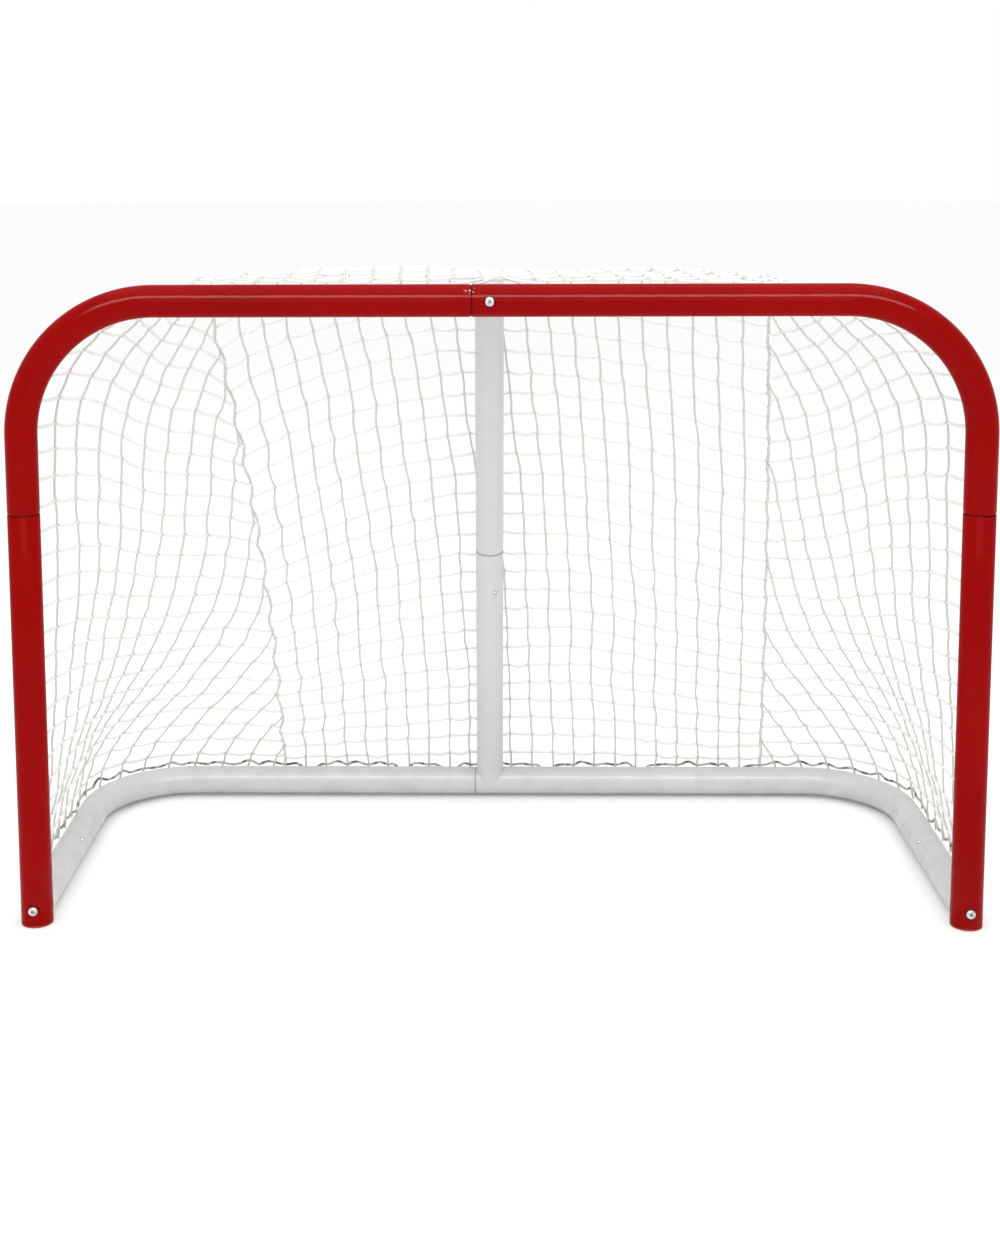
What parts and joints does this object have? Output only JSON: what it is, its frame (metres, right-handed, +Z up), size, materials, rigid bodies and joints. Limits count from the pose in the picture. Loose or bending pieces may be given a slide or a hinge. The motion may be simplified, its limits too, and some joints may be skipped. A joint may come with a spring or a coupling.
{
  "type": "hockey goal",
  "caption": "Street hockey goal of bent steel tube, with a red front, a white base and rear support, sprung joint buttons and a knotted white net on clips.",
  "frame": {"origin": "on the floor, under the middle of the goal's outer box", "axes": "+X to the right seen from the front, +Y from the mouth to the back, +Z up"},
  "size_m": [1.8393, 0.7714, 1.2336],
  "materials": {
    "red_tube": "glossy red powder coat on steel tube",
    "white_tube": "semi-gloss white powder coat on steel tube",
    "foot_cap": "moulded red plastic",
    "zinc_hardware": "bright zinc plate",
    "spring_steel": "blued spring strip",
    "net_cord": "white knotted polyester twine",
    "clip_plastic": "moulded white plastic"
  },
  "bodies": {
    "goal": {"left_top_bend": "red_tube", "right_top_bend": "red_tube", "left_lower_post": "red_tube", "right_lower_post": "red_tube", "left_base_front_tube": "white_tube", "right_base_front_tube": "white_tube", "left_base_bend": "white_tube", "right_base_bend": "white_tube", "upper_support_tube": "white_tube", "lower_support_tube": "white_tube", "left_foot_cap": "foot_cap", "right_foot_cap": "foot_cap", "crossbar_bolt": "zinc_hardware", "rear_base_bolt": "zinc_hardware", "left_foot_bolt": "zinc_hardware", "right_foot_bolt": "zinc_hardware", "neck_plug": "zinc_hardware", "support_foot_plug": "zinc_hardware", "left_base_plug": "zinc_hardware", "right_base_plug": "zinc_hardware", "left_post_button_spring": "spring_steel", "right_post_button_spring": "spring_steel", "left_base_button_spring": "spring_steel", "right_base_button_spring": "spring_steel", "support_button_spring": "spring_steel", "back_net": "net_cord", "roof_net": "net_cord", "left_side_net": "net_cord", "right_side_net": "net_cord", "left_post_clip_1": "clip_plastic", "left_post_clip_2": "clip_plastic", "left_post_clip_3": "clip_plastic", "left_post_clip_4": "clip_plastic", "right_post_clip_1": "clip_plastic", "right_post_clip_2": "clip_plastic", "right_post_clip_3": "clip_plastic", "right_post_clip_4": "clip_plastic", "crossbar_clip_1": "clip_plastic", "crossbar_clip_2": "clip_plastic", "crossbar_clip_3": "clip_plastic", "crossbar_clip_4": "clip_plastic", "crossbar_clip_5": "clip_plastic", "crossbar_clip_6": "clip_plastic", "crossbar_clip_7": "clip_plastic", "crossbar_clip_8": "clip_plastic", "left_base_clip_1": "clip_plastic", "left_base_clip_2": "clip_plastic", "right_base_clip_1": "clip_plastic", "right_base_clip_2": "clip_plastic", "rear_clip_1": "clip_plastic", "rear_clip_2": "clip_plastic", "rear_clip_3": "clip_plastic", "rear_clip_4": "clip_plastic", "rear_clip_5": "clip_plastic", "rear_clip_6": "clip_plastic"},
    "left_post_button": {"left_post_button": "zinc_hardware"},
    "right_post_button": {"right_post_button": "zinc_hardware"},
    "left_base_button": {"left_base_button": "zinc_hardware"},
    "right_base_button": {"right_base_button": "zinc_hardware"},
    "support_button": {"support_button": "zinc_hardware"}
  },
  "joints": [
    {"name": "left_post_button_press", "type": "slide", "parent": "goal", "child": "left_post_button", "axis": [0.7071, -0.7071, 0], "range_m": [0, 0.0052], "stiffness_N_per_m": 800, "springref_m": -0.003, "deforming": ["left_post_button_spring"]},
    {"name": "right_post_button_press", "type": "slide", "parent": "goal", "child": "right_post_button", "axis": [-0.7071, -0.7071, 0], "range_m": [0, 0.0052], "stiffness_N_per_m": 800, "springref_m": -0.003, "deforming": ["right_post_button_spring"]},
    {"name": "left_base_button_press", "type": "slide", "parent": "goal", "child": "left_base_button", "axis": [-0.766, 0, -0.6428], "range_m": [0, 0.0052], "stiffness_N_per_m": 800, "springref_m": -0.003, "deforming": ["left_base_button_spring"]},
    {"name": "right_base_button_press", "type": "slide", "parent": "goal", "child": "right_base_button", "axis": [0.766, 0, -0.6428], "range_m": [0, 0.0052], "stiffness_N_per_m": 800, "springref_m": -0.003, "deforming": ["right_base_button_spring"]},
    {"name": "support_button_press", "type": "slide", "parent": "goal", "child": "support_button", "axis": [-0.4067, 0.8893, 0.209], "range_m": [0, 0.0052], "stiffness_N_per_m": 800, "springref_m": -0.003, "deforming": ["support_button_spring"]}
  ]
}
